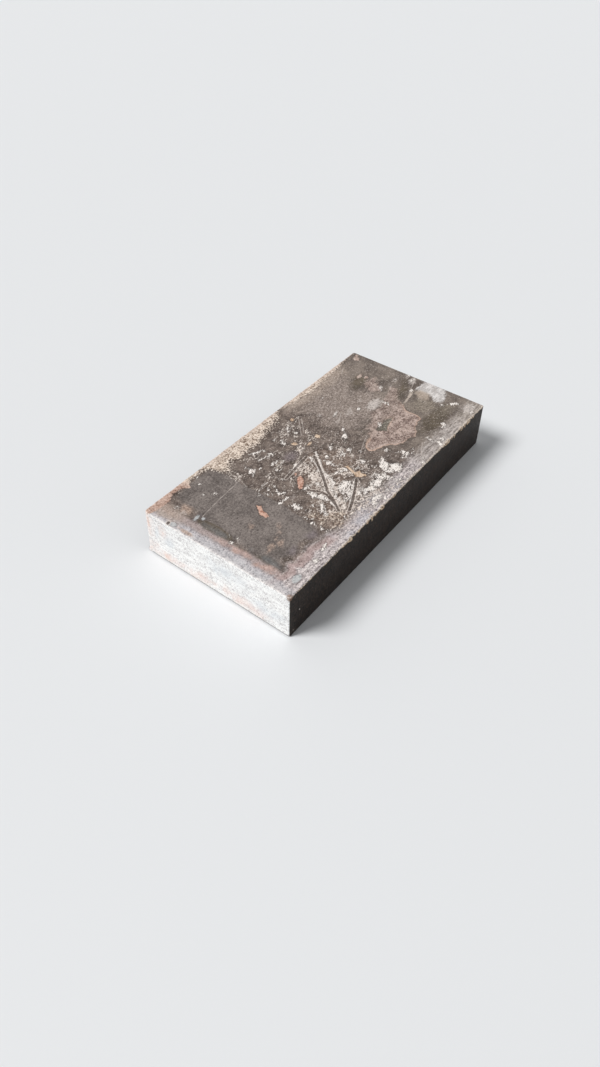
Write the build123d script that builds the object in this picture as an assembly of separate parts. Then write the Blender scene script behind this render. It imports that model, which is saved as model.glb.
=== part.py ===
from build123d import *

import os
from math import ceil, cos, pi, radians, sin, tan

# A short, thick blank cut by heat out of rolled steel plate. It lies on one broad face with its long side along X.
# The origin is the middle of the rectangle that its underside was cut to. Sizes are in mm and angles in degrees.
plate_length = 100.0
plate_width = 50.0
plate_thickness = 15.0

# The jet is widest where it enters the plate, so each cut side leans in towards the top by an angle of its own.
left_lean = 1.3
right_lean = 1.0
front_lean = 0.8
back_lean = 1.1

# The cut turns each corner with its own radius. It slowed down and washed out the back left one.
left_back_radius = 1.1
left_front_radius = 0.55
right_front_radius = 0.5
right_back_radius = 0.7

# Heat melts the sharp rims: the top one a little, and the underside's more, so a thin dark gap shows under the sides.
top_rim_radius = 0.3
bottom_rim_radius = 0.42

# A chip is missing where the left end, the front side and the top meet.
chip_reach = 0.8

# Metal that was blown back and froze along the top of the front side, as one ragged lip with tongues hanging from it.
lip_proud = 0.2
lip_root = 0.6
lip_below_top = 0.06
lip_least_depth = 0.3
tongue_depth = 0.75
tongue_spacing = 2.6
lip_end_gap = 1.6
lip_point_step = 0.65

# A drop of slag froze at the foot of the washed-out corner and reaches down to the floor.
drop_radius = 0.85
drop_foot_radius = 0.6
drop_height = 1.6
drop_proud = 0.12


def cut_blank():
    """The block as it came out of the plate, before its sides are leant and its edges melted."""
    return Box(plate_length, plate_width, plate_thickness, align=(Align.CENTER, Align.CENTER, Align.MIN))


def lean_side(block, outwards, half_size, lean):
    """Slices one side off along a plane that passes through its bottom edge and tips in by the lean."""
    tilt = radians(lean)
    foot = Vector(*outwards) * half_size
    normal = Vector(*outwards) * cos(tilt) + Vector(0, 0, sin(tilt))
    return split(block, bisect_by=Plane(origin=foot, z_dir=normal), keep=Keep.BOTTOM)


def lean_all_sides(block):
    """Leans the two ends and the two long sides."""
    block = lean_side(block, (-1, 0, 0), plate_length / 2, left_lean)
    block = lean_side(block, (1, 0, 0), plate_length / 2, right_lean)
    block = lean_side(block, (0, -1, 0), plate_width / 2, front_lean)
    return lean_side(block, (0, 1, 0), plate_width / 2, back_lean)


def round_corner(block, x_sign, y_sign, radius):
    """Rounds the upright edge in one quarter of the plan."""
    uprights = block.edges().filter_by(lambda edge: abs(edge.center().Z - plate_thickness / 2) < 0.1)
    corner = uprights.filter_by(lambda edge: edge.center().X * x_sign > 0 and edge.center().Y * y_sign > 0)
    return fillet(corner, radius)


def round_all_corners(block):
    """Gives each of the four corners the radius that the cut left there."""
    block = round_corner(block, -1, 1, left_back_radius)
    block = round_corner(block, -1, -1, left_front_radius)
    block = round_corner(block, 1, -1, right_front_radius)
    return round_corner(block, 1, 1, right_back_radius)


def melt_rims(block):
    """Rolls over the whole top rim, then the whole bottom rim, by their own radii."""
    block = fillet(block.edges().group_by(Axis.Z)[-1], top_rim_radius)
    return fillet(block.edges().group_by(Axis.Z)[0], bottom_rim_radius)


def side_inset(lean):
    """How far a leaning side has moved in by the time it reaches the top."""
    return plate_thickness * tan(radians(lean))


def chip_corner(block):
    """Breaks the top left front corner off along one slanting plane."""
    corner = Vector(
        -plate_length / 2 + side_inset(left_lean),
        -plate_width / 2 + side_inset(front_lean),
        plate_thickness,
    )
    broken_face = Plane(origin=corner + Vector(chip_reach, 0, 0), z_dir=(-1, -1, 1))
    return split(block, bisect_by=broken_face, keep=Keep.BOTTOM)


def tongue(x):
    """Depth of the lip at x: two uneven waves multiplied, which leaves a few long tongues between short ones."""
    long_wave = abs(sin(pi * x / (2.7 * tongue_spacing) + 0.6))
    short_wave = abs(sin(pi * x / tongue_spacing))
    return lip_least_depth + (tongue_depth - lip_least_depth) * long_wave * short_wave


def ragged_lip():
    """The frozen lip: its hanging edge is drawn point by point from tongue(), then thickened into the front side."""
    lip_start = -plate_length / 2 + side_inset(left_lean) + lip_end_gap
    lip_end = plate_length / 2 - side_inset(right_lean) - lip_end_gap
    steps = ceil((lip_end - lip_start) / lip_point_step)
    lip_top = plate_thickness - lip_below_top
    stations = [lip_start + (lip_end - lip_start) * i / steps for i in range(steps + 1)]
    hanging_edge = [(x, lip_top - tongue(x)) for x in stations[1:-1]]
    outline = Polyline((lip_start, lip_top), *hanging_edge, (lip_end, lip_top), close=True)
    outer_y = -plate_width / 2 + side_inset(front_lean) - lip_proud
    drawing_plane = Plane(origin=(0, outer_y, 0), x_dir=(1, 0, 0), z_dir=(0, -1, 0))
    return extrude(drawing_plane * make_face(outline), amount=-lip_proud - lip_root)


def slag_drop():
    """The frozen drop: half of its outline, an arc from its flat foot over its bulge to its tip, turned once round."""
    outline = Polyline((0, drop_height), (0, 0), (drop_foot_radius, 0))
    bulge = ThreePointArc((drop_foot_radius, 0), (drop_radius, drop_height * 0.42), (0, drop_height))
    drop = revolve(Plane.XZ * make_face([outline, bulge]), axis=Axis.Z)
    middle = (
        -plate_length / 2 - drop_proud + drop_radius,
        plate_width / 2 + drop_proud - drop_radius,
        0,
    )
    return Pos(*middle) * drop


def steel_plate():
    """The whole plate, as one solid."""
    plate = lean_all_sides(cut_blank())
    plate = round_all_corners(plate)
    plate = melt_rims(plate)
    plate = chip_corner(plate)
    return plate + ragged_lip() + slag_drop()


os.makedirs("parts", exist_ok=True)
export_step(steel_plate(), "parts/steel_plate.step")
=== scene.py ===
import bpy
import numpy as np
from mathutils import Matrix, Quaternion, Vector


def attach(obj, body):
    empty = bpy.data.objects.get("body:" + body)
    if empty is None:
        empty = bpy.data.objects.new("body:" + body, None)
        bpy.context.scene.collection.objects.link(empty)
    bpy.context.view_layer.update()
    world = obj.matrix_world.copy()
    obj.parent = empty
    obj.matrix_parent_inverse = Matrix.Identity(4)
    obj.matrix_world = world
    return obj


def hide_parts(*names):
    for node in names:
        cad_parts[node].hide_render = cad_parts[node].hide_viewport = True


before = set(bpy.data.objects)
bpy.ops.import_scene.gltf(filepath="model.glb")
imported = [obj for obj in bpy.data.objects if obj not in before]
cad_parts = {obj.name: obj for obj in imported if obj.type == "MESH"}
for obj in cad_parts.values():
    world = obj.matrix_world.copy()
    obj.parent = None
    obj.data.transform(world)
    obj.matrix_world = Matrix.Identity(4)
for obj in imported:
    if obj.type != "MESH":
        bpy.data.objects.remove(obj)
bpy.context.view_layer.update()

mm = 0.001

# The camera stands above the left front corner of the plate, about 24 cm away, and looks down at 45 degrees.
# Its lens is wide, so the nearest corner looks larger than the far end. It leans over by one degree.
eye = Vector((-142.61, -96.17, 156.07)) * mm
looks_at = Vector((-18.82, -4.61, 0.0)) * mm
lean_of_camera = np.radians(1.02)
lens_length, film_width = 25.74, 36.0
nearest_seen = 10 * mm


def place_camera():
    """Aims the camera along the line from its eye to the floor, then turns it about that line."""
    camera = bpy.data.objects.new("camera", bpy.data.cameras.new("camera"))
    camera.data.sensor_width = film_width
    camera.data.lens = lens_length
    camera.data.clip_start = nearest_seen
    aim = (looks_at - eye).normalized()
    camera.rotation_mode = "QUATERNION"
    camera.rotation_quaternion = Quaternion(aim, -lean_of_camera) @ aim.to_track_quat("-Z", "Y")
    camera.location = eye
    bpy.context.collection.objects.link(camera)
    bpy.context.scene.camera = camera


place_camera()
bpy.context.scene.view_settings.view_transform = "Standard"

# A broad far lamp shines from behind the left end, so that end and the top are lit and the front side is in
# shade. A pale sky fills the shade, and a wide pale floor catches the plate's soft shadow.
light_from = Vector((-0.58, 0.50, 0.88))
lamp_spread = np.radians(24.0)
lamp_strength = 2.75
sky_strength = 0.36
floor_half = 12.0
floor_colour = (0.80, 0.81, 0.82, 1.0)
floor_roughness = 0.7
backdrop_colour = (0.86, 0.87, 0.88, 1.0)


def hang_lamp():
    """Hangs one far lamp, whose light comes evenly from a disc as wide as its spread."""
    lamp = bpy.data.lights.new("soft_lamp", "SUN")
    lamp.angle = lamp_spread
    lamp.energy = lamp_strength
    hung = bpy.data.objects.new("soft_lamp", lamp)
    hung.location = light_from
    hung.rotation_mode = "QUATERNION"
    hung.rotation_quaternion = (-light_from).to_track_quat("-Z", "Y")
    bpy.context.collection.objects.link(hung)


def make_sky():
    """An even sky: the backdrop's colour where a camera or mirror sees it, and the fill light elsewhere."""
    world = bpy.data.worlds.new("sky")
    bpy.context.scene.world = world
    world.use_nodes = True
    nodes, links = world.node_tree.nodes, world.node_tree.links
    sky = nodes["Background"]
    sky.inputs["Color"].default_value = backdrop_colour
    ray = nodes.new("ShaderNodeLightPath")
    seen = ray.outputs["Is Camera Ray"]
    for name in ("Is Glossy Ray", "Is Transmission Ray"):
        either = nodes.new("ShaderNodeMath")
        either.operation = "MAXIMUM"
        links.new(seen, either.inputs[0])
        links.new(ray.outputs[name], either.inputs[1])
        seen = either.outputs[0]
    strength = nodes.new("ShaderNodeMapRange")
    strength.inputs["To Min"].default_value = sky_strength
    strength.inputs["To Max"].default_value = 1.0
    links.new(seen, strength.inputs["Value"])
    links.new(strength.outputs["Result"], sky.inputs["Strength"])


def lay_floor():
    """A plain square floor at the height that the plate stands on."""
    signs = ((-1, -1), (1, -1), (1, 1), (-1, 1))
    sheet = bpy.data.meshes.new("floor")
    sheet.from_pydata([(a * floor_half, b * floor_half, 0.0) for a, b in signs], [], [(0, 1, 2, 3)])
    floor = bpy.data.objects.new("floor", sheet)
    bpy.context.collection.objects.link(floor)
    paint = bpy.data.materials.new("floor_paint")
    paint.use_nodes = True
    shader = paint.node_tree.nodes["Principled BSDF"]
    shader.inputs["Base Color"].default_value = floor_colour
    shader.inputs["Roughness"].default_value = floor_roughness
    sheet.materials.append(paint)


hang_lamp()
make_sky()
lay_floor()

# The plate is one piece of hot rolled steel, 100 by 50 by 15 mm, cut from a larger sheet. Its top keeps the
# dark skin of the rolling mill, its two ends are bright from the cut, and its long sides are dark scale whose
# colour also holds painted shade.
# Places on it are in millimetres, x to the right and y to the back from the left front corner of its foot.
length, width, thickness = 100.0, 50.0, 15.0

# Four values go round the plate: front, right, back, left for its sides, and for its corners left front,
# right front, right back, left back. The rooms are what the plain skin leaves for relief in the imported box.
half = np.array([width, length, width, length]) / 2
lean = np.radians([0.8, 1.0, 1.1, 1.3])
corner_radius = np.array([0.55, 0.5, 0.7, 1.1])
least_radius = 0.05
top_rim, foot_rim = 0.3, 0.42
side_room, top_room = 0.06, 0.13
points_per_side = np.array([315, 159, 315, 159])
corner_steps, rim_steps, foot_step = 3, 4, 3

# Heights of the loops down a side: close together near the top, where the lip hangs, and near the foot.
below_top = np.array([0.5, 0.7, 0.9, 1.15, 1.45, 1.8])
above_foot = np.array([2.4, 2.0, 1.65, 1.3, 0.95, 0.65])
middle_loops = 21
foot_sheet_inset = 0.7
lattice_size = 64


def lattice(seed):
    """Random numbers from -1 to 1 on a cube of points."""
    return np.random.default_rng(seed).uniform(-1.0, 1.0, (lattice_size,) * 3)


def grain(x, y, z, size, seed):
    """Smooth noise from -1 to 1: the random numbers at the eight lattice points round a place, blended by
    how near it is to each, with the blend eased at both ends, and the lattice points `size` millimetres
    apart. The place is moved far along the lattice, so that all cell numbers are positive."""
    numbers = lattice(seed)
    place = np.stack([x, y, z], axis=-1) / size + 1000.0
    cell = np.floor(place).astype(int)
    part = place - cell
    part = part * part * (3.0 - 2.0 * part)
    total = np.zeros(x.shape)
    for corner in np.ndindex(2, 2, 2):
        near = np.abs(1 - np.array(corner) - part)
        here = (cell + np.array(corner)) % lattice_size
        share = near[..., 0] * near[..., 1] * near[..., 2]
        total += share * numbers[here[..., 0], here[..., 1], here[..., 2]]
    return total


def layered(x, y, z, size, seed, layers=3):
    """Noise with finer noise on it: each layer has half the size and half the height of the one before."""
    return sum(grain(x, y, z, size / 2 ** k, seed + k) / 2 ** k for k in range(layers))


def eased(value, low, high):
    """Goes from 0 at low to 1 at high, flat at both ends."""
    part = np.clip((value - low) / (high - low), 0.0, 1.0)
    return part * part * (3.0 - 2.0 * part)


def ring_places():
    """One loop round the plate, anticlockwise from half-way round the left front corner: for each point the
    side it is on, how far along the straight part it is from 0 to 1, and the way that it faces. The facing
    turns by 45 degrees in the first steps of a side and by 45 more in its last steps."""
    side = np.repeat(np.arange(4), points_per_side)
    step = np.concatenate([np.arange(n) for n in points_per_side])
    steps = points_per_side[side]
    along = np.clip((step - corner_steps) / (steps - 2 * corner_steps), 0.0, 1.0)
    turn = np.clip(step / corner_steps, 0, 1) + np.clip((step - steps + corner_steps) / corner_steps, 0, 1)
    facing = np.radians(90.0 * side - 135.0 + 45.0 * turn)
    return side, along, facing


def rings(height, drawn_in):
    """Closed loops round the plate, one per height. A point is the centre of one corner slid towards the
    next corner's centre, plus the corner's radius along the way that the point faces."""
    side, along, facing = ring_places()
    reach = half - side_room - height[:, None] * np.tan(lean) - drawn_in[:, None]
    radius = np.maximum(corner_radius - drawn_in[:, None], least_radius)
    centre_x = np.stack([radius[:, 0] - reach[:, 3], reach[:, 1] - radius[:, 1],
                         reach[:, 1] - radius[:, 2], radius[:, 3] - reach[:, 3]], axis=1)
    centre_y = np.stack([radius[:, 0] - reach[:, 0], radius[:, 1] - reach[:, 0],
                         reach[:, 2] - radius[:, 2], reach[:, 2] - radius[:, 3]], axis=1)
    following = (side + 1) % 4
    middle_x, middle_y, reach_out = [
        (1 - along) * value[:, side] + along * value[:, following] for value in (centre_x, centre_y, radius)]
    return middle_x + reach_out * np.cos(facing), middle_y + reach_out * np.sin(facing)


def sheet_over(loop, long_steps, short_steps):
    """The flat sheet inside a loop: the blend of front and back edge, plus the blend of left and right edge,
    less the blend of the four corners."""
    front = loop[:long_steps + 1]
    right = loop[long_steps:long_steps + short_steps + 1]
    back = loop[long_steps + short_steps:2 * long_steps + short_steps + 1][::-1]
    left = np.concatenate([loop[2 * long_steps + short_steps:], loop[:1]])[::-1]
    u = np.linspace(0.0, 1.0, long_steps + 1)[None, :, None]
    v = np.linspace(0.0, 1.0, short_steps + 1)[:, None, None]
    ends = (1 - v) * front[None] + v * back[None] + (1 - u) * left[:, None] + u * right[:, None]
    corners = (1 - u) * (1 - v) * front[0] + u * (1 - v) * front[-1]
    return ends - (corners + (1 - u) * v * back[0] + u * v * back[-1])


def sheet_numbers(loop_numbers, long_steps, short_steps, first_free):
    """The point numbers of that sheet: the loop's own numbers along its edges and new ones inside."""
    numbers = np.zeros((short_steps + 1, long_steps + 1), dtype=int)
    numbers[0] = loop_numbers[:long_steps + 1]
    numbers[:, -1] = loop_numbers[long_steps:long_steps + short_steps + 1]
    numbers[-1] = loop_numbers[long_steps + short_steps:2 * long_steps + short_steps + 1][::-1]
    numbers[:, 0] = np.append(loop_numbers[2 * long_steps + short_steps:], loop_numbers[0])[::-1]
    inner = (short_steps - 1) * (long_steps - 1)
    numbers[1:-1, 1:-1] = first_free + np.arange(inner).reshape(short_steps - 1, long_steps - 1)
    return numbers


def squares(numbers):
    """Four-sided faces between the neighbours of a table of point numbers."""
    corners = [numbers[:-1, :-1], numbers[:-1, 1:], numbers[1:, 1:], numbers[1:, :-1]]
    return np.stack(corners, axis=-1).reshape(-1, 4)


def plain_plate():
    """The whole skin before its relief: loops from the top rim down to the foot, a fine sheet over the top
    and a coarse one under the foot, joined by a strip that goes from three steps to one. Gives the points,
    the way each faces, and the faces."""
    turn = np.linspace(90.0, 0.0, rim_steps + 1)
    upper = thickness - top_room - below_top
    middle = np.linspace(upper[-1], above_foot[0], middle_loops + 2)[1:-1]
    arc_in = 1.0 - np.cos(np.radians(turn))
    arc_up = np.sin(np.radians(turn))
    sides = np.concatenate([upper, middle, above_foot])
    rim_height = thickness - top_room - top_rim * (1 - arc_up)
    height = np.concatenate([rim_height, sides, foot_rim * (1 - arc_up[::-1])])
    drawn_in = np.concatenate([top_rim * arc_in, 0 * sides, foot_rim * arc_in[::-1]])
    tilt = np.radians(np.concatenate([turn, 0 * sides, -turn[::-1]]))
    x, y = rings(height, drawn_in)
    around = x.shape[1]
    loops = np.stack([x, y, np.repeat(height[:, None], around, axis=1)], axis=-1)
    facing = ring_places()[2]
    outward = np.stack([np.cos(tilt)[:, None] * np.cos(facing), np.cos(tilt)[:, None] * np.sin(facing),
                        np.sin(tilt)[:, None] + 0 * facing], axis=-1)
    numbers = np.arange(loops.shape[0] * around).reshape(-1, around)
    closed = np.concatenate([numbers, numbers[:, :1]], axis=1)
    corners = [closed[:-1, :-1], closed[1:, :-1], closed[1:, 1:], closed[:-1, 1:]]
    wall = np.stack(corners, axis=-1).reshape(-1, 4)
    points, facings = [loops.reshape(-1, 3)], [outward.reshape(-1, 3)]

    def add(more, way):
        """Adds points that face straight up or down, and gives the number of the first one."""
        first = sum(len(part) for part in points)
        points.append(more.reshape(-1, 3))
        facings.append(np.tile([0.0, 0.0, way], (len(points[-1]), 1)))
        return first

    top_steps = points_per_side[:2]
    foot_steps = top_steps // foot_step
    first = add(sheet_over(loops[0], *top_steps)[1:-1, 1:-1], 1.0)
    top_numbers = sheet_numbers(numbers[0], *top_steps, first)
    x, y = rings(np.array([0.0]), np.array([foot_rim + foot_sheet_inset]))
    coarse = np.stack([x[0], y[0], 0 * x[0]], axis=-1)[::foot_step]
    inner = add(coarse, -1.0) + np.arange(len(coarse))
    first = add(sheet_over(coarse, *foot_steps)[1:-1, 1:-1], -1.0)
    foot_numbers = sheet_numbers(inner, *foot_steps, first)
    fine_0, fine_1, fine_2 = numbers[-1].reshape(-1, foot_step).T
    fine_3, inner_next = np.roll(fine_0, -1), np.roll(inner, -1)
    strip = np.stack([fine_1, inner, inner_next, fine_2], axis=-1)
    wedges = np.concatenate([np.stack([fine_0, inner, fine_1], axis=-1),
                             np.stack([fine_2, inner_next, fine_3], axis=-1)])
    fours = np.concatenate([wall, squares(top_numbers), squares(foot_numbers)[:, ::-1], strip])
    return np.concatenate(points), np.concatenate(facings), fours, wedges


# Marks on the top, each given as x, y, its length and width, and how far it is turned from x, in degrees.
# Pale crust: crumbs of loose scale and old lime that stuck to the rolled skin, thickest in the middle.
pale_crust = [
    (14.2, 2.6, 0.8, 0.6, 0), (18.5, 3.4, 0.7, 0.5, 0), (20.2, 4, 0.8, 0.5, 0), (6, 23.6, 0.6, 0.5, 0),
    (7.4, 25.6, 0.6, 0.4, 60), (8.3, 23.4, 0.6, 0.4, 60), (15, 41.6, 0.5, 0.4, 0), (17.5, 45.1, 0.7, 0.6, 0),
    (17.4, 39.3, 1.4, 0.6, 90), (19.4, 47.6, 0.8, 0.6, 0), (62.6, 7.2, 2, 0.7, 0), (64.5, 8, 1.2, 0.9, 60),
    (66.7, 6.8, 2.3, 0.8, 8), (62.7, 28.3, 1.7, 0.8, 45), (68.8, 2.8, 1.3, 0.7, 20),
    (64.3, 1.2, 1.8, 0.6, 55), (74.3, 5.2, 2.9, 0.9, 82), (74.8, 3.4, 1.3, 0.8, 110),
    (76.7, 2.5, 3.1, 0.6, -3), (74.2, 0.8, 1.4, 0.8, 65), (83, 5.2, 2.5, 1, 0), (83, 5.9, 1.2, 1, 90),
    (91.2, 10.7, 1.5, 1.2, 0), (94.4, 8.4, 3, 1, -45), (97.2, 25.3, 1.4, 0.8, 5), (99.2, 27.6, 1.4, 1, 90),
    (81.6, 25.6, 1.5, 0.6, 80), (87.6, 30.9, 1.6, 0.6, 60), (71, 20.6, 1.3, 0.8, 45),
    (94.4, 1.6, 1.2, 0.9, 0), (92, 22.1, 1.5, 0.5, 20), (90.4, 21.6, 0.9, 0.4, 20),
    (96.9, 2.6, 1.2, 0.9, 20), (71.4, 42.4, 0.8, 0.4, 20), (7, 43.5, 1, 0.8, 0), (6, 23.3, 0.7, 0.6, 0),
    (63.4, 37.4, 0.8, 0.5, 60), (67.4, 34.4, 1.2, 0.4, 5), (73.8, 30.2, 1.6, 1, 40),
    (52.6, 25.4, 1.8, 1.5, 31), (59.9, 25.6, 1.7, 1.2, 32), (60.3, 25.8, 2.9, 0.7, 35),
    (55.4, 21.1, 1.6, 1.3, 28), (53, 21.3, 2.1, 1.7, 27), (52.7, 20.2, 1.1, 1, 22),
    (57.3, 18.3, 1.8, 0.6, 34), (50.1, 14.7, 1.5, 1.1, 31), (53.5, 15, 0.9, 0.8, 3),
    (61.8, 12.5, 2.3, 1, 146), (34.3, 21, 1.5, 0.9, 180), (51.3, 18.8, 1, 0.7, 131),
    (48.4, 27.8, 0.9, 0.6, 35), (45.7, 27.9, 1, 0.6, 36), (44.4, 21.3, 1.4, 0.7, 93),
    (49, 24.4, 1.1, 0.9, 33), (50.4, 13.2, 0.8, 0.6, 29), (54.1, 10.9, 0.8, 0.6, 28),
    (40.6, 29.3, 1, 0.9, 130), (47.6, 2.6, 0.9, 0.6, 28), (42, 3.2, 1.6, 1.2, 133),
    (44.5, 3.3, 1.2, 1.1, 16), (44.4, 1.4, 1, 0.8, 23), (40.5, 2.8, 0.8, 0.8, 162),
    (30.1, 15.2, 1.1, 0.8, 130), (27.3, 15.7, 0.8, 0.7, 131), (24.4, 11.3, 0.7, 0.6, 132),
    (31.4, 5.8, 0.8, 0.5, 32), (31.1, 3.4, 0.6, 0.5, 15), (51.9, 40.6, 2.7, 1.5, 38),
    (52.3, 41.4, 1.7, 0.8, 38), (52.3, 38, 1, 1, 132), (52.8, 25.5, 2.1, 1.5, 33),
    (46.1, 37.9, 1.9, 1.1, 128), (46.7, 39.3, 0.9, 0.7, 38), (33, 35.8, 1, 0.6, 40),
    (30.4, 36.6, 2.4, 1.1, 40), (30.3, 37.4, 1.4, 1.1, 126), (39.6, 38.4, 1.2, 0.9, 127),
    (39.6, 37.4, 1, 0.6, 39), (45.2, 41.3, 0.9, 0.6, 39), (50.4, 28.8, 1.5, 0.4, 67),
    (34.1, 21.1, 2, 0.8, 179), (34, 24.4, 0.8, 0.6, 37), (33.4, 27.6, 1.3, 0.6, 16),
    (33.2, 28.5, 1.1, 0.7, 128), (34.9, 28.2, 1.3, 0.5, 13), (25.5, 30, 0.7, 0.7, 54),
    (26, 27.8, 0.8, 0.7, 41), (47.1, 22.4, 1.6, 1, 86), (46.9, 20.8, 1.1, 1, 24), (54.1, 11.1, 0.7, 0.4, 30),
    (53.4, 11.8, 0.5, 0.3, 30), (63.5, 9.2, 0.7, 0.5, 28), (62.5, 6.9, 0.7, 0.6, 155),
    (68.7, 2.5, 0.9, 0.6, 26), (74.1, 0.3, 1.1, 0.6, 25), (47.6, 2.5, 0.7, 0.5, 28),
    (44.2, 7.3, 1.3, 1.2, 6), (82, 5, 1.4, 1.2, 4), (60.2, 2.3, 1.2, 0.4, 159), (58.7, 2.5, 1, 0.4, 160),
    (24.9, 14.4, 0.9, 0.5, 70), (24.7, 13.2, 0.6, 0.5, 0), (25.4, 12.3, 0.8, 0.5, 0),
    (24.5, 10.3, 0.5, 0.4, 0), (24.3, 9.1, 0.5, 0.4, 0), (24.3, 8, 0.5, 0.5, 0), (24.7, 6.8, 0.6, 0.4, 0),
    (24.8, 34.6, 0.8, 0.6, 60),
]

# The same crust where it lies in larger patches, where it is only a lace of thin crumbs, and where it was
# dragged into lines. The patches and the lace are closed outlines.
crust_patches = [
    [(41.5, 14.6), (42.9, 14.4), (44.2, 13.6), (45.7, 12.9), (45.8, 12.1), (43.8, 10.9), (41.1, 9.3),
     (38.4, 7.9), (35.9, 7.3), (36.3, 8.1), (37.2, 9.4), (38, 10.9), (38.8, 12.2), (39.8, 13.5)],
    [(58.1, 12.5), (59.1, 12.1), (58.3, 11), (57.3, 9.9), (57.8, 8.5), (58.3, 7.4), (59.9, 7), (59.8, 5.6),
     (58.4, 4.9), (57.9, 4), (56.4, 4.4), (55.5, 4.7), (55.6, 5.7), (54.3, 5.9), (53.9, 6.7), (53.6, 7.9),
     (54.3, 9), (54.7, 10), (56.3, 11.2)],
    [(51.3, 10.1), (51.9, 9), (52.2, 7.7), (53.4, 6.6), (53.4, 5.1), (52.3, 4.6), (51.4, 3.8), (51.1, 4.9),
     (51.2, 5.9), (50.4, 6.5), (48.1, 5), (46.8, 6), (45.2, 5.3), (44.1, 6.1), (42, 6.5), (41, 7.1),
     (42, 8.7), (43.5, 8.6), (44.7, 8.3), (46, 8.1), (46.6, 8.8), (47.9, 8.2), (49.6, 8), (50.5, 8.8)],
    [(42.4, 4.6), (44.1, 4.6), (44.1, 3.1), (43.5, 2), (41.8, 2.4), (40.4, 2.7)],
    [(33.3, 19.3), (34.3, 18.7), (35, 16.6), (35.1, 14.6), (34.7, 12.6), (33.7, 10.7), (33.5, 12.2),
     (33.6, 14.3), (32.9, 15.9), (32.2, 17.6)],
    [(30.9, 14.3), (32, 13.8), (31.1, 12), (29.4, 10.4), (28.8, 11.3), (29.5, 12.9)],
    [(26.2, 20.3), (27.6, 20), (27.7, 18.4), (27.5, 16.4), (26.3, 17.3), (25.4, 18.8)],
]
lacy_areas = [
    [(35.9, 28.6), (41.2, 29.6), (43.8, 28.4), (44.2, 25.9), (43.3, 23.6), (42.7, 21.8), (40.7, 18.2),
     (40.8, 16.4), (39.7, 13.6), (37.8, 11.9), (35.8, 8.8), (34, 7.2), (33.5, 10.1), (35.2, 13.6),
     (36.7, 15.7), (36.5, 17.7), (37.3, 20), (37.9, 21.8), (39.6, 25.7), (35.1, 26.2)],
    [(25, 14.7), (28.4, 14.3), (30.5, 10.8), (33.8, 7.4), (32.2, 4.7), (27.5, 3.9), (25.5, 5.3), (23.9, 7.7),
     (24.2, 11.2)],
    [(49.6, 28.2), (50.5, 25.3), (52.5, 22.7), (53.6, 19.5), (50.5, 18), (46.4, 17.1), (43.5, 18.1),
     (43.1, 20.4), (45.7, 24.1)],
    [(41.4, 20.8), (43.7, 19.5), (46.8, 16.5), (46.3, 14.5), (42.4, 15.2), (40.9, 14.5), (40.3, 16.2),
     (41.1, 18.5)],
    [(36.2, 34.5), (37.7, 35.2), (38.8, 34.5), (40, 33.4), (39.4, 32.1), (37.1, 31.1), (35.5, 31.4),
     (35.2, 32.9)],
    [(25.6, 30), (27.1, 29.5), (29.2, 27.4), (29.9, 25.6), (29.2, 24.5), (27.9, 25.4), (25.6, 28.4)],
    [(40.3, 8.7), (42.9, 7.1), (44.6, 4.9), (45.8, 1.6), (41.6, 0.5), (38.3, 1.6), (36.2, 4.2), (36.8, 6.7)],
    [(46.4, 6.1), (47.9, 4.9), (52, 3.5), (57.5, 1.8), (60.1, 0.8), (56.8, 0.3), (50.9, 0.3), (45.4, 1.5),
     (39.6, 1.7), (36.7, 1.9), (38.3, 4)],
]
crust_lines = [
    [(45.9, 28), (43.8, 24.4), (42.3, 21.9)], [(48.5, 28), (45.4, 24.3), (42.4, 20.8), (40.5, 18.4)],
    [(38.1, 19.8), (37.1, 16.9), (36.6, 15.4)], [(39.3, 16.7), (37.6, 13.8), (35.9, 11)],
    [(42.4, 19.5), (41.6, 17.1), (40.5, 15.9)], [(35.6, 28.2), (39.4, 28.6), (43.4, 28.9)],
    [(33.4, 27.6), (35.1, 27.8)], [(35.5, 16.5), (35, 13.2), (33.7, 10.4)],
    [(43.7, 18.7), (45.7, 17.9), (47.6, 16.6)], [(25.1, 22.8), (28.2, 22.6)],
    [(45.4, 12.4), (41.7, 10.2), (37.9, 8.4)], [(35.4, 42.7), (40, 40.5)], [(35.8, 38.5), (40, 37.8)],
    [(30.9, 39.5), (31.3, 37.8), (31.5, 36.9)], [(31.3, 38.5), (29.6, 35.8)],
    [(24.1, 29.4), (27.5, 30.9), (29.2, 31.3)],
    [(36.2, 34.5), (37.7, 35.2), (38.8, 34.5), (40, 33.4), (39.4, 32.1)],
    [(35.2, 32.9), (35.5, 31.4), (37.1, 31.1)], [(37.6, 34.5), (37.2, 32.3)], [(35.9, 32.7), (38.7, 33.1)],
    [(28, 29.5), (26.4, 26.5)], [(29.6, 28.1), (27.9, 25.4), (29.3, 24.4)],
    [(52.5, 3.4), (54, 2.2), (55, 0.8)], [(74.4, 6.2), (73.9, 4.5), (74.6, 2.6), (75.9, 1.9), (77.1, 2.1)],
    [(65.8, 2.3), (64.5, 1.2), (63.7, 0)], [(63.7, 8.6), (63.6, 7.4), (62.4, 5.8)],
    [(62.3, 6.8), (65.5, 6.7), (66.5, 6.1)], [(66.2, 7.1), (65.6, 5.8)],
]

# Two of the laces are golden, two are thinner than the rest, and so is one patch of crust.
front_gold, back_gold = lacy_areas[1], lacy_areas[4]
thin_lace = [lacy_areas[2], lacy_areas[5]]
thin_patch = crust_patches[2]
thick_patches = crust_patches[:2] + crust_patches[3:]

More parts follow.
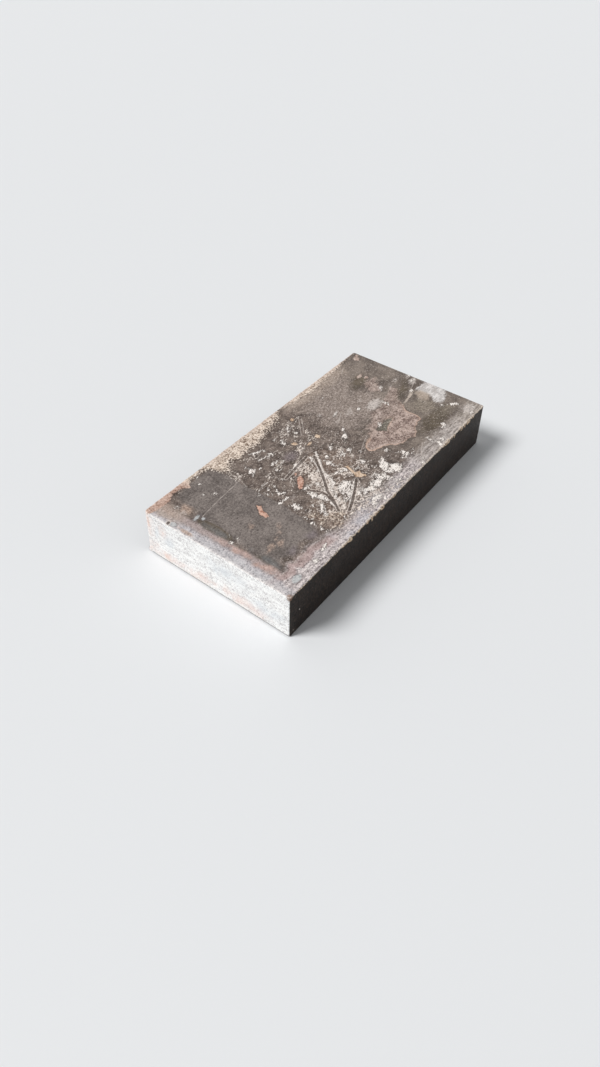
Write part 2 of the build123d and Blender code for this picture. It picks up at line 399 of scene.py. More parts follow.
# Fainter, wider clouds of the same dust.
pale_clouds = [
    (7, 43.6, 2.6, 2, 20), (6.6, 40.8, 2.4, 2, 0), (7.4, 22.6, 1.6, 1.6, 0), (76.7, 27, 2.8, 1.8, 75),
    (80, 27.9, 4.2, 2, 5), (78.6, 33.6, 3, 1, 50), (94.5, 29.8, 2.8, 1.2, 0), (90.3, 28.8, 3, 1, 40),
    (67.8, 34.5, 4.5, 1, 5), (66, 32.8, 4.5, 1.6, 35), (64, 38.6, 2.6, 1, 50), (73.5, 23.3, 3.2, 1, 25),
    (75.8, 23.9, 1.6, 1, 0), (70.5, 31.5, 4, 1.8, 10), (87, 1, 3.4, 1.6, 0), (43.2, 8.9, 4.6, 1.8, 15),
    (29.5, 21.5, 2, 1, 20), (43.5, 29.6, 5, 0.9, 5),
]

# Places in the middle where the skin stayed smooth and dark, so no dust holds there.
smooth_patches = [
    (43.2, 16.6, 4.6, 3.6, 0), (29.4, 19.6, 3.6, 5.4, 0), (47.2, 9.9, 5, 2.4, 10), (42.3, 32, 6, 3.4, 0),
    (43, 39.6, 5.5, 5, 0), (33.2, 12.5, 3, 3, 0), (37.6, 42.6, 4, 1.6, 0), (28, 34, 6, 7, 0),
    (26.2, 27, 4, 8, 0), (29.4, 20, 8, 7, 0), (26.5, 22, 3, 5, 0), (46, 22.5, 9, 5.5, 55),
    (33.5, 39.5, 4, 3, 0), (51, 35.2, 5, 2, 0), (57, 15.5, 4.5, 4, 0), (58, 34, 6, 5, 0),
]

# Thin flakes of rust that have lifted from the skin: small ones as spots and the three large as outlines.
rust_flakes = [
    (56.6, 43, 1.6, 1.2, 37), (54.9, 32.1, 1.8, 1.6, 28), (47.8, 35.3, 1.8, 1.3, 129),
    (37.3, 26.8, 1.3, 0.7, 37), (50.6, 31.9, 2.2, 0.8, 10), (88.6, 40, 3, 1.3, 0), (89.7, 37.9, 1.6, 1.3, 0),
    (96.8, 46.6, 2.4, 2.2, 80), (98.4, 47.6, 1.6, 1, 0),
]
flake_outlines = [
    [(18.3, 24.4), (19.3, 25.4), (20, 26.6), (20.5, 27.6), (20.9, 27.2), (20.7, 26.6), (21.5, 26.3),
     (20.7, 25.6), (20.1, 24.4), (19.9, 22.9), (19.5, 22.1), (18.6, 22.2), (18.5, 23.4)],
    [(36.4, 25.5), (37.6, 25.4), (37.2, 24), (35.9, 22.7), (34, 21.8), (32.8, 21.7), (33.2, 22.8),
     (34.7, 24.3)],
    [(48.7, 18), (49.6, 17.4), (48.9, 15.6), (48.3, 14.1), (49.9, 13.5), (49, 12.4), (49.6, 11),
     (48.9, 10.7), (47.3, 11.7), (46.7, 13), (47.4, 13.9), (48.1, 15.9)],
]

# Soft coloured places. Left: tan dust, brown ground under the dust, pink and slate heat tints, and four grey
# green spots with a dark outline. Right: olive ground, a pale stroke, pale worn places with a painted
# highlight among them at the right front corner, and deep dark ones.
tan_dust = [
    (11.3, 14.6, 1.9, 1.5, 30), (9.8, 14.2, 2.4, 1.4, 0), (18, 17.4, 1.8, 1.5, 50), (16.4, 16, 2.4, 1.2, 20),
    (14.6, 15.6, 1.8, 1.4, 60), (13.8, 13.6, 2.6, 2, 30), (13.6, 23.5, 2, 1.3, 50), (8, 41, 3.6, 3, 70),
    (1.5, 35.4, 1.4, 6, 0), (90, 26.5, 3, 1.2, 30),
]
brown_ground = [
    (34, 4), (26, 4), (24.5, 10), (26, 15), (34, 17), (36, 27), (42, 30), (50, 29), (54, 22), (52, 12),
    (44, 13), (38, 9),
]
warm_places = [
    (4.6, 22, 11.5, 2.1, 92), (4.2, 10.4, 10.5, 2.3, 94), (4.2, 44.5, 5, 2.2, 60), (11, 6.4, 7, 1.3, 0),
]
slate_places = [
    (6.5, 30, 9, 2.2, 92), (3.6, 18, 14, 1.2, 92), (6.8, 12.5, 7, 1.6, 90),
]
green_spots = [
    (6.5, 2.9, 3.4, 2.1, 5), (1.6, 40, 1.7, 2.3, 0), (7.3, 36.8, 3, 1.1, 5), (8, 35.2, 1.1, 1, 0),
]
olive_places = [
    (87.8, 15.2, 9, 8.5, 0), (91, 8, 6, 3, 0),
]
pale_stroke = [
    (85.4, 20.6), (89.4, 21.2), (92.6, 22.2),
]
# Pale worn places, except the one at the right front corner, which is a painted highlight.
pale_places_and_highlight = [
    (79, 27.7, 7.6, 4, 4), (87.2, 31, 3.4, 1.8, 50), (97.4, 25, 4.6, 2.2, 20), (95.5, 3.2, 7, 3.4, 0),
    (98.6, 27.4, 1.8, 1.2, 0), (94.5, 29.8, 2.6, 1.2, 0),
]
deep_places = [
    (84, 8.6, 17, 6.5, 0), (90.6, 25, 11, 4, 20), (6.9, 30, 3, 14, 0), (6.6, 12.5, 2.6, 7, 0),
    (85.6, 38.3, 8.5, 4.6, 15), (70.5, 18.9, 6, 2, 5),
]

# Small burrs on the back side and pale dots on the front side, as x and z, and purple tempered places.
back_burrs = [
    (41, 14.6, 1.5, 0.8, 10), (51.8, 14.7, 0.8, 0.6, 0), (33, 14.7, 0.7, 0.4, 0),
]
front_dots = [
    (4.2, 7.4, 0.7, 0.6, 0), (1.5, 1.6, 0.5, 0.4, 0), (2.4, 13.6, 0.5, 0.4, 0), (3, 4.6, 0.4, 0.3, 0),
]
purple_places = [
    (13, 9.2, 4.6, 3, 0), (20.8, 8.8, 5.4, 3.6, 0), (42.3, 32.6, 6, 4.4, 0), (33, 3, 12, 2.4, 0),
]


# What a distance is where there is no mark or line near, in millimetres.
elsewhere, far_away = 9.0, 99.0


def spots(x, y, marks):
    """How deep a place is inside the nearest mark, in millimetres: one less the place's distance from the
    mark's middle, measured in the mark's own half length and half width, times the half width."""
    deepest = np.full(x.shape, -elsewhere)
    for at_x, at_y, long_way, short_way, turn in marks:
        c, s = np.cos(np.radians(turn)), np.sin(np.radians(turn))
        u = ((x - at_x) * c + (y - at_y) * s) / (long_way / 2)
        v = ((y - at_y) * c - (x - at_x) * s) / (short_way / 2)
        deepest = np.maximum(deepest, (1.0 - np.hypot(u, v)) * short_way / 2)
    return deepest


def from_line(x, y, path):
    """The distance from a place to the nearest point of a line of straight runs."""
    nearest = np.full(x.shape, far_away)
    for (ax, ay), (bx, by) in zip(path[:-1], path[1:]):
        run_x, run_y = bx - ax, by - ay
        part = np.clip(((x - ax) * run_x + (y - ay) * run_y) / (run_x ** 2 + run_y ** 2), 0.0, 1.0)
        nearest = np.minimum(nearest, np.hypot(x - ax - part * run_x, y - ay - part * run_y))
    return nearest


def inside(x, y, outline):
    """The distance to a closed outline, positive inside it. A place is inside when a line from it to the
    right crosses the outline an odd number of times."""
    loop = outline + outline[:1]
    crossings = np.zeros(x.shape, dtype=int)
    for (ax, ay), (bx, by) in zip(loop[:-1], loop[1:]):
        spans = (ay > y) != (by > y)
        crossing_x = ax + (y - ay) * (bx - ax) / (by - ay if by != ay else 1e-9)
        crossings += spans & (x < crossing_x)
    return np.where(crossings % 2 == 1, 1.0, -1.0) * from_line(x, y, loop)


# The smooth blue-black skin at the left end stops at a step, where a sheet of scale came off on its right.
dark_skin = [
    (5.4, 8), (5.7, 20), (5.3, 30), (6, 36.2), (8.8, 38.5), (8.4, 44), (9.5, 47), (16, 47.4), (24, 47.8),
    (25.3, 45), (25, 38), (25.3, 30), (25, 20), (24.4, 14), (24, 9.5), (21.5, 7), (19, 8.6), (16.8, 9.6),
    (14.5, 8), (12, 8), (9.5, 9.4), (7.5, 7.6),
]

# A brown water stain with a pale orange rim covers much of the right half, with a hole in it and a lobe
# further back. Round it lie a chalky patch, a beige one and a wide haze where the skin is worn.
stain_outline = [
    (58.6, 16.4), (59.6, 18), (61.2, 18.9), (63.3, 19.5), (65, 19.9), (65.3, 20.9), (67.2, 21), (67, 22.8),
    (68.6, 23.7), (70.6, 23.5), (72.4, 24.8), (74.5, 26), (77, 26), (80, 25.4), (83, 26.8), (86, 27.6),
    (89.2, 28.8), (90.8, 28.3), (90.6, 25.9), (88, 24.6), (85.7, 23.6), (85.1, 22), (84.5, 20.5),
    (82.6, 18.8), (82, 17), (82.4, 15.3), (82.3, 13.6), (81.3, 12.4), (79.8, 12.4), (78.2, 11.6), (76, 11.1),
    (74.6, 10), (72.8, 9.3), (71.4, 10.1), (69.4, 10.2), (67.6, 10.4), (66, 11.6), (65.2, 12.8),
    (64.4, 13.6), (63.4, 14.2), (61.6, 14.7), (59.6, 14.8),
]
stain_hole = [
    (68.2, 19.9), (69.8, 17), (71.5, 18), (74, 18.7), (77, 19.5), (74.5, 20.5), (72, 20.6), (70, 20.3),
]
stain_lobe = [
    (86, 36.6), (88, 36.8), (91.8, 36.4), (92, 35.2), (90.3, 34.6), (89.4, 33), (88.2, 31), (87.4, 30),
    (85, 30.3), (83.8, 31.6), (84.3, 34),
]
chalk_patch = [
    (94.2, 21.4), (99.8, 21.4), (99.8, 14), (98.3, 13.2), (96.5, 12.4), (94, 11.8), (92.3, 12.4), (92, 14),
    (93.2, 16), (94, 18),
]
beige_patch = [
    (90.2, 19.2), (92, 20.2), (94, 20.2), (94.2, 16.5), (92.4, 15.2), (90.4, 16),
]
worn_haze = [
    (61, 33), (62, 38), (61.5, 43), (65, 45.5), (74, 45.5), (84, 46), (84.5, 42), (82.5, 39), (80.5, 36.5),
    (83.5, 34), (84.5, 30), (83, 27), (75.5, 24.8), (68.5, 24.6), (63.5, 27),
]

# Sandy scale along the back edge and a lilac grey tint along the front edge, each as the line where it ends.
sand_line = [
    (0, 47.6), (2, 47), (4.5, 46.6), (6.5, 46.6), (7.5, 46.4), (8.6, 47.2), (10, 47.8), (13, 47.7),
    (14, 46.8), (15, 45.9), (15.8, 47), (17, 47.8), (20, 48), (23, 47.7), (24.3, 46), (25.2, 43.2),
    (27, 42.2), (30, 44.6), (33, 42.6), (36, 44.2), (41, 43.2), (45, 44.2), (50, 45.6), (53.4, 45.9),
    (55.8, 47), (57.6, 48.9), (59.2, 49.2), (61.2, 48.2), (64, 47.5), (67, 47.4), (71, 47), (73, 46.8),
    (76, 46.9), (80, 47.2), (84, 47.6), (88, 48), (91, 48.4), (95, 48.8), (100, 49.1),
]
tint_line = [
    (0, 9), (3, 8), (5.4, 6.6), (7.5, 6.6), (9.2, 8.4), (10.6, 6.6), (14, 6.2), (16.6, 7.2), (18.4, 6.4),
    (21, 5.8), (24, 5.6), (28, 5), (34, 5.8), (40, 6), (44, 5), (60, 4.8), (70, 5.3), (80, 5), (90, 4.8),
    (100, 5),
]

# Heat colours on the ends, as y, z, length, height and turn: orange beside the edges, and faint blue clouds.
end_orange = [
    (48.4, 11.5, 5.6, 1.4, 85), (48, 2.6, 3.8, 1.6, 120), (43.2, 11.2, 2.6, 1.6, 80), (30, 2.2, 7, 2.8, 0),
    (41, 1.8, 8, 2, 0), (14.5, 2.6, 9, 3, 0),
]
end_blue = [
    (41.3, 7.8, 3, 4.6, 0), (45.4, 9.5, 1.2, 4, 10), (21, 9.8, 10, 3.4, 0), (8, 5.2, 9, 3.2, 0),
]

# Lines from handling: light scratches show bare metal, dark grooves are filled with old scale, and two pale
# hairlines are burrs that were pushed up beside the longest groove.
light_scratches = [
    [(8.5, 35.9), (16, 36.8), (25.3, 37.5)], [(27.3, 39.7), (25.8, 37.3), (24.8, 34.2)],
    [(58.2, 41.6), (54.1, 37.8), (52.1, 36)], [(59, 41.2), (54, 36.5)],
    [(64.6, 20.8), (60.8, 19.6), (56.4, 17.7), (50.9, 14.8)], [(92.8, 22.9), (98.9, 24.7)],
    [(86.5, 45.5), (89.5, 46.9)], [(66, 3), (72, 6.2)], [(70, 29.5), (73, 33)], [(64, 31), (69, 33.4)],
]
dark_grooves = [
    [(46.9, 27.3), (45, 24.8), (41.2, 20.1), (37, 15.4)], [(37, 15.4), (35.1, 12.1), (32.7, 8.7)],
    [(46.1, 12.1), (42, 9.8), (37.3, 7.6), (34.5, 6.5)], [(45.3, 29), (39.6, 28.4), (34.2, 27.8)],
    [(34.1, 20.1), (35.8, 16.8), (35.7, 14.6), (33.9, 10.4)], [(1, 41.3), (1.5, 41.5)],
]
pale_hairlines = [
    [(45.9, 28.1), (43.8, 24.1), (41.8, 20.7), (39.2, 18)],
    [(48.5, 28.1), (46, 24.8), (43.1, 21.1), (40.1, 16.8)],
]


def field_of_lines(x, y, paths):
    """The distance to the nearest of several lines."""
    return np.min([from_line(x, y, path) for path in paths], axis=0)


def inside_any(x, y, outlines):
    """How deep a place is inside the nearest of several closed outlines."""
    return np.max([inside(x, y, outline) for outline in outlines], axis=0)


def tongues(x):
    """How far the ragged scale hangs down the front side, in millimetres, at each place along its edge."""
    zero = 0 * x
    left_stretch = eased(x, 21, 26) * (1 - eased(x, 43, 50))
    right_stretch = 0.6 * eased(x, 73, 77) * (1 - eased(x, 90, 94))
    clusters = np.clip(0.75 + 1.1 * layered(x, zero, zero, size=2.6, seed=43, layers=2), 0.2, 1.0)
    much = 0.12 + 0.88 * np.maximum(left_stretch, right_stretch) * clusters
    ragged = np.clip(0.58 + 1.2 * layered(x, zero, zero, size=0.8, seed=41), 0.0, 1.2)
    return 0.22 + much * np.clip(1.4 * ragged ** 1.5, 0.0, 1.2)


# Dust and crust were dragged into streaks: how far these are turned from x, and their width to their length.
streak_turn, streak_squeeze = np.radians(35.0), 0.55


def read_marks(points):
    """Every mark on the top as a number at each point, most of them in millimetres and positive inside the
    mark. Noise of about half a millimetre frays the outlines, and slower noise makes them wander."""
    x, y, z = points[:, 0] + length / 2, points[:, 1] + width / 2, points[:, 2]
    c, s = np.cos(streak_turn), np.sin(streak_turn)
    streak_x, streak_y = (x * c + y * s) * streak_squeeze, y * c - x * s
    fray = layered(streak_x, streak_y, z, size=0.9, seed=11)
    drift = layered(x, y, z, size=3.0, seed=21)
    clumps = layered(streak_x, streak_y, z, size=2.4, seed=31)
    crust = np.maximum(spots(x, y, pale_crust), 0.26 - field_of_lines(x, y, crust_lines))
    patches = np.maximum(inside_any(x, y, thick_patches), 0.7 * inside(x, y, thin_patch) - 0.2)
    crust = np.maximum(np.minimum(crust, 0.32), np.minimum(0.7 * patches + 0.05, 0.44))
    middle = eased(x, 24.0, 26.0) * (1 - eased(x, 53.0, 66.0))
    middle = middle * eased(y, 3.0, 6.0) * (1 - eased(y, 42.0, 46.0))
    thick = np.exp(-((x - 40.0) / 14.0) ** 2 - ((y - 15.0) / 15.0) ** 2)
    bare = eased(spots(x, y, smooth_patches) + 0.4 * fray, -0.4, 0.8)
    lacy = eased(inside_any(x, y, lacy_areas) + 0.5 * drift, -0.8, 0.6)
    lacy -= 0.6 * eased(inside_any(x, y, thin_lace), -0.8, 0.6)
    lacy += 0.8 * eased(inside(x, y, back_gold), -0.3, 0.5) + 0.35 * lacy * (1 - eased(y, 5.0, 9.0))
    even = 0.27 + 0.27 * thick + 0.04 * eased(y, 28.0, 34.0)
    stain = np.maximum(inside(x, y, stain_outline), inside(x, y, stain_lobe))
    ragged = eased(x, 17.0, 25.0) * (1 - 0.6 * eased(x, 56.0, 62.0))
    sand = y - np.interp(x, *np.transpose(sand_line))
    along_end = np.where(x < length / 2, y, width - y)
    marks = {
        "crust": crust + 0.50 * fray + 0.15 * clumps,
        "dust": middle * (even + 0.45 * clumps + 0.25 * fray) * (1 - 0.85 * bare) + 0.37 * lacy,
        "gold": np.maximum(inside(x, y, front_gold), inside(x, y, back_gold) - 0.3) + 0.6 * drift,
        "stain": np.minimum(stain, -inside(x, y, stain_hole)) + 0.28 * drift + 0.12 * fray,
        "flake": np.maximum(spots(x, y, rust_flakes), inside_any(x, y, flake_outlines)) + 0.12 * fray,
        "stroke": 0.35 + 0.07 * np.clip(x - 86.0, 0, 5) - from_line(x, y, pale_stroke) + 0.12 * fray,
        "dot": spots(x, z, front_dots) - elsewhere * (y > width / 2),
        "burr": spots(x, z, back_burrs) - elsewhere * (y < width / 2),
        "chip": 1.4 - np.sqrt((x - 0.4) ** 2 + (y - 0.3) ** 2 + (z - 14.9) ** 2) + 0.3 * fray,
        "sand": sand + (0.12 + 0.38 * ragged) * fray + 0.3 * ragged * drift,
        "tint": np.interp(x, *np.transpose(tint_line)) - y + 0.5 * drift,
        "orange": spots(along_end, z, end_orange) + 0.5 * drift,
        "blue": spots(along_end, z, end_blue) + 0.6 * drift,
        "scratch": field_of_lines(x, y, light_scratches),
        "groove": field_of_lines(x, y, dark_grooves),
        "hair": field_of_lines(x, y, pale_hairlines),
        "lip": tongues(x) - (thickness - top_room - z) - elsewhere * (points[:, 1] > 0),
        "reach": tongues(x),
    }
    for name, places, wander, frayed in (
        ("cloud", pale_clouds, 0.2, 0.5), ("pale", pale_places_and_highlight, 0.3, 0.2), ("green", green_spots, 0.0, 0.12),
        ("tan", tan_dust, 0.4, 0.0), ("warm", warm_places, 0.5, 0.0), ("slate", slate_places, 0.5, 0.0),
        ("deep", deep_places, 0.6, 0.0), ("purple", purple_places, 0.5, 0.0),
        ("olive", olive_places, 0.5, 0.0),
    ):
        marks[name] = spots(x, y, places) + wander * drift + frayed * fray
    for name, outline, wander, frayed in (
        ("brown", brown_ground, 0.8, 0.0), ("skin", dark_skin, 0.35, 0.12), ("chalk", chalk_patch, 0.5, 0.0),
        ("beige", beige_patch, 0.5, 0.0), ("haze", worn_haze, 1.0, 0.0), ("hole", stain_hole, 0.0, 0.2),
    ):
        marks[name] = inside(x, y, outline) + wander * drift + frayed * fray
    return marks


# How far each kind of mark raises the top, in millimetres, and between which two of its depths it rises. A
# line is raised or cut by its first number, and its second is half its width. Below are the rolls, grits and
# other rises of the skin, how deep it may go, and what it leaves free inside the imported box.
mark_rises = {
    "skin": (0.020, -0.3, 0.3), "crust": (0.085, -0.10, 0.25), "dust": (0.030, 0.2, 0.9),
    "cloud": (0.030, -0.2, 0.5), "stain": (0.030, -0.1, 0.3), "flake": (0.100, -0.05, 0.2),
    "chalk": (0.030, -0.3, 0.6),
}
line_rises = {"groove": (-0.11, 0.26), "scratch": (-0.03, 0.20), "hair": (0.05, 0.20)}
top_roll, top_grit, top_sunk = 0.018, 0.006, 0.012
side_roll, side_grit, side_drag, foot_roll = 0.02, 0.014, 0.016, 0.03
stain_rim_rise, sand_rise, sand_grit = 0.030, 0.045, 0.06
lip_rise, lip_proud, burr_proud = 0.16, 0.18, 0.30
deepest_cut, deepest_side, clearance = 0.12, 0.06, 0.005


def relief(points, facing, marks):
    """How far each point of the skin stands out, in millimetres. On the top it is a slow roll, a fine grit,
    the marks and lines above, a rim round the stain and the lip's own rise. On the sides it is the drag of
    the cut, the burrs at the back, and the ragged lip that hangs over the front edge."""
    x, y, z = points[:, 0] + length / 2, points[:, 1] + width / 2, points[:, 2]
    up = eased(facing[:, 2], 0.0, 0.9)
    down = eased(-facing[:, 2], 0.0, 0.9)
    fine = layered(x, y, z, size=0.7, seed=51)
    roll = layered(x, y, z, size=9.0, seed=61, layers=2)
    top = top_roll * roll - top_sunk + top_grit * fine
    for name, (rise, low, high) in mark_rises.items():
        top += rise * eased(marks[name], low, high)
    for name, (rise, half_width) in line_rises.items():
        top += rise * np.exp(-(marks[name] / half_width) ** 2)
    top += stain_rim_rise * np.exp(-((marks["stain"] - 0.25) / 0.3) ** 2)
    top += eased(marks["sand"], -0.2, 0.8) * (sand_rise + sand_grit * layered(x, y, z, size=1.1, seed=71))
    top += lip_rise * eased(marks["reach"], 0.35, 0.9) * (1 - eased(y, 0.5, 1.1))
    top = np.clip(top, -deepest_cut, top_room - clearance)
    end = eased(np.abs(facing[:, 0]), 0.7, 0.95)
    drag = grain(y / 0.45, x * 0, z / 9.0, size=1.0, seed=81) * end
    drag += grain(x / 0.5, y * 0, z / 7.0, size=1.0, seed=82) * (1 - end)
    side = side_drag * drag + side_grit * fine + side_roll * roll
    hang = marks["reach"] - (thickness - top_room - z)
    front = eased(-facing[:, 1], 0.6, 0.9) * eased(hang, -0.08, 0.15)
    side = np.clip(side, -deepest_side, side_room - clearance)
    side += lip_proud * front * eased(marks["reach"], 0.15, 0.5)
    side += burr_proud * eased(marks["burr"], -0.05, 0.25)
    return up * top + (1 - up - down) * side - down * foot_roll * np.abs(roll)


def colour_of(red, green, blue):
    """A colour read off as 0 to 255 on a screen, as the straight amount of light that a material takes."""
    part = np.array([red, green, blue]) / 255.0
    straight = np.where(part <= 0.04045, part / 12.92, ((part + 0.055) / 1.055) ** 2.4)
    return (*straight.tolist(), 1.0)


class Wire:
    """One socket of a material's node tree. Sums on it are written as in Python and add Math nodes."""

    def __init__(self, tree, socket):
        self.tree = tree
        self.socket = socket

    def node(self, kind, settings, values, output=0):
        """Adds a node: its settings are set first, then the numbers or wires of its sockets."""
        made = self.tree.nodes.new(kind)
        for name, value in settings.items():
            setattr(made, name, value)
        for name, value in values.items():
            if isinstance(value, Wire):
                self.tree.links.new(value.socket, made.inputs[name])
            else:
                made.inputs[name].default_value = value
        return Wire(self.tree, made.outputs[output])

    def sum_of(self, operation, first, second):
        return self.node("ShaderNodeMath", {"operation": operation}, {0: first, 1: second})

    def __add__(self, other):
        return self.sum_of("ADD", self, other)

    def __radd__(self, other):
        return self.sum_of("ADD", other, self)

    def __sub__(self, other):
        return self.sum_of("SUBTRACT", self, other)

    def __rsub__(self, other):
        return self.sum_of("SUBTRACT", other, self)

    def __mul__(self, other):
        return self.sum_of("MULTIPLY", self, other)

    def __rmul__(self, other):
        return self.sum_of("MULTIPLY", other, self)

    def __truediv__(self, other):
        return self.sum_of("DIVIDE", self, other)

    def __neg__(self):
        return self.sum_of("SUBTRACT", 0.0, self)

    def between(self, low, high):
        """Goes from 0 at low to 1 at high, eased at both ends."""
        return self.node("ShaderNodeMapRange", {"interpolation_type": "SMOOTHSTEP"}, {
            "Value": self, "From Min": low, "From Max": high})

    def fading(self, low, high):
        """Goes from 1 at low to 0 at high, eased at both ends."""
        return 1.0 - self.between(low, high)

    def at_most(self, other):
        return self.sum_of("MINIMUM", self, other)

    def at_least(self, other):
        return self.sum_of("MAXIMUM", self, other)

    def mixed(self, first, second):
        """The first colour where this wire is 0, the second where it is 1, each a wire or three numbers."""
        first, second = [c if isinstance(c, Wire) else colour_of(*c) for c in (first, second)]
        return self.node("ShaderNodeMix", {"data_type": "RGBA"}, {0: self, 6: first, 7: second}, 2)

    def shades(self, low, high, dark, light):
        """The dark colour where this wire is at low and the light one where it is at high."""
        return self.between(low, high).mixed(dark, light)


def finish_plate(mesh):
    """Colours the skin from the marks on its points and from fine noise, in the plate's own place."""
    paint = bpy.data.materials.new("plate_steel")
    paint.use_nodes = True
    tree = paint.node_tree
    start = Wire(tree, None)
    place = start.node("ShaderNodeTexCoord", {}, {}, "Object")
    place = start.node("ShaderNodeVectorMath", {"operation": "SCALE"}, {0: place, "Scale": 1.0 / mm})
    x, y, z = [start.node("ShaderNodeSeparateXYZ", {}, {0: place}, axis) for axis in "XYZ"]
    facing = start.node("ShaderNodeAttribute", {"attribute_name": "facing"}, {}, "Vector")
    face_x, face_y, face_z = [start.node("ShaderNodeSeparateXYZ", {}, {0: facing}, axis) for axis in "XYZ"]

    def mark(name):
        return start.node("ShaderNodeAttribute", {"attribute_name": name}, {}, "Fac")

    def squeezed(scale, turn=0.0):
        """The place, turned about z and squeezed, so that noise read there runs out into streaks."""
        return start.node("ShaderNodeMapping", {}, {
            "Vector": place, "Rotation": (0, 0, np.radians(turn)), "Scale": scale})

    def noise(scale, detail=3.0, rough=0.55, where=place):
        """Noise from -1 to 1, `scale` lumps in a millimetre."""
        found = start.node("ShaderNodeTexNoise", {}, {
            "Vector": where, "Scale": scale, "Detail": detail, "Roughness": rough}, "Fac")
        return (found - 0.5) * 4.0

    def covered(base, *layers):
        """Lays layers over a base colour, the lowest first. Each is how much of it shows, and its colour."""
        for shows, colour in layers:
            base = shows.mixed(base, colour)
        return base

    streaked = squeezed((0.42, 1.0, 1.0), -38.0)
    fine = noise(1.7, 4.0, 0.72)
    speck = noise(3.0, 2.0, 0.7)
    lace = noise(1.9, 4.0, 0.8, streaked)
    web = noise(0.8, 2.0, 0.55, streaked)
    streak = noise(0.7, 3.0, 0.65, streaked)
    brush = noise(1.6, 3.0, 0.65, squeezed((0.22, 1.0, 1.0)))
    slow = noise(0.14, 3.0, 0.55)
    middling = noise(0.42, 4.0, 0.65)
    grit = (0.4 * streak + 0.7 * fine + 0.6 * speck).between(-1.0, 1.0)
    from_end = x + length / 2
    from_front = y + width / 2

    # The rolled skin: brown grey where scale came off, blue-black and smooth at the left, dark at the right.
    soft = 0.35 + 2.2 * from_end.fading(5.0, 16.0).at_least(from_front.fading(7.0, 12.0))
    left_patch = (mark("skin") / soft + 0.12 * fine).between(-0.5, 1.0)
    right_part = (x + 4.0 * slow + 1.5 * middling).between(8.0, 26.0)
    back_strip = (from_front + 1.2 * middling + 0.3 * streak).between(42.5, 47.2)
    back_strip = back_strip * from_end.between(56.0, 64.0) * from_end.fading(84.0, 93.0)
    skin = covered(
        (middling + 0.5 * fine).shades(-0.8, 0.8, (80, 69, 63), (136, 122, 113)),
        ((lace * 0.8 + 0.5 * speck).between(0.25, 0.9), (176, 161, 151)),
        (left_patch, (0.6 * slow + 0.3 * middling + 0.8 * fine + 0.4 * speck).shades(
            -0.9, 0.9, (96, 88, 84), (144, 134, 128))),
        (right_part * 0.85, (slow + 0.5 * middling + 0.4 * fine).shades(
            -0.7, 0.7, (98, 88, 81), (140, 128, 118))),
        ((mark("haze") + 0.9 * middling).between(-2.4, 3.0) * 0.8,
         (0.6 * lace + 0.8 * fine + 0.7 * speck).shades(-0.9, 1.1, (114, 101, 92), (190, 175, 166))),
        ((mark("deep") * 0.6 + 0.4 * middling).between(-0.4, 0.8) * 0.88,
         (slow + 0.5 * fine).shades(-0.7, 0.7, (84, 74, 62), (111, 99, 84))),
        (back_strip * 0.85, (fine + 0.4 * speck).shades(-0.8, 0.8, (152, 136, 125), (200, 183, 169))),
        ((mark("olive") * 0.4 + 0.4 * middling).between(-0.5, 0.9) * 0.75,
         (fine + 0.5 * middling).shades(-0.8, 0.8, (121, 110, 98), (165, 153, 139))),
        ((mark("purple") * 0.6 + 0.4 * middling).between(-0.4, 0.9) * 0.6,
         fine.shades(-0.8, 0.8, (112, 102, 104), (142, 130, 134))),
    )

    # Along the left end: a pale rim, worn and with a painted highlight on it, then tints of the cut's heat in
    # bands of grey blue, lilac and pink.
    across = from_end + 0.5 * slow + 0.4 * middling + 0.12 * fine
    pink = across.between(2.8, 4.0) * across.fading(5.0, 6.2)
    warm = (mark("warm") * 0.8 + 0.4 * middling + 0.1 * fine).between(-0.6, 0.8)
    lilac = across.fading(2.6, 4.2)
    blue = across.between(0.9, 1.6) * across.fading(2.0, 3.0) * from_front.fading(30.0, 36.0)
    tanned = (from_front + 1.5 * slow).between(37.0, 42.0) * across.between(0.8, 2.4)
    tanned = tanned * across.fading(5.0, 8.0)
    skin = covered(
        skin,
        (pink * 0.9, grit.mixed((160, 145, 142), (192, 176, 173))),
        ((mark("slate") * 0.8 + 0.4 * middling).between(-0.7, 0.9) * 0.7,
         grit.mixed((100, 101, 103), (138, 138, 140))),
        (warm * (0.3 * streak + middling).between(-1.0, 0.5) * 0.75,
         grit.mixed((186, 151, 139), (216, 184, 172))),
        (lilac, grit.mixed((160, 153, 157), (228, 222, 223))),
        (blue * 0.6, grit.mixed((158, 156, 158), (216, 214, 215))),
        (tanned * 0.8, grit.mixed((150, 133, 122), (194, 176, 163))),
        # worn left edge with a painted highlight
        (across.fading(0.4, 1.4) * 0.9, grit.mixed((190, 185, 185), (254, 252, 250))),
    )

    # The front edge has a lilac grey band, pink on its inner side at the left end, and brushed at the right.
    tint = (mark("tint") / soft + 0.25 * streak + 0.15 * fine).between(-0.7, 0.7)
    bluer = (slow + 0.8 * middling).between(-0.3, 0.8) * from_end.between(18.0, 24.0)
    pinker = (mark("tint").between(-0.5, 0.6) - mark("tint").between(1.8, 3.2)) * from_end.fading(21.0, 27.0)
    band = covered(
        (0.6 * brush + 0.4 * lace + 0.6 * fine + 0.6 * speck).shades(
            -0.85, 0.9, (122, 111, 112), (244, 233, 230)),
        (bluer * from_end.fading(46.0, 60.0) * 0.5, grit.mixed((134, 133, 142), (216, 216, 224))),
        ((from_end + 5.0 * slow).between(58.0, 70.0),
         (brush + 0.4 * fine + 0.4 * speck).shades(-0.9, 0.9, (128, 118, 112), (204, 194, 188))),
        (pinker * 0.85, grit.mixed((164, 142, 138), (196, 172, 168))),
        ((from_end + 2.0 * slow).between(84.0, 92.0) * 0.7,
         (brush + fine).shades(-0.8, 0.8, (132, 122, 112), (184, 172, 162))),
    )
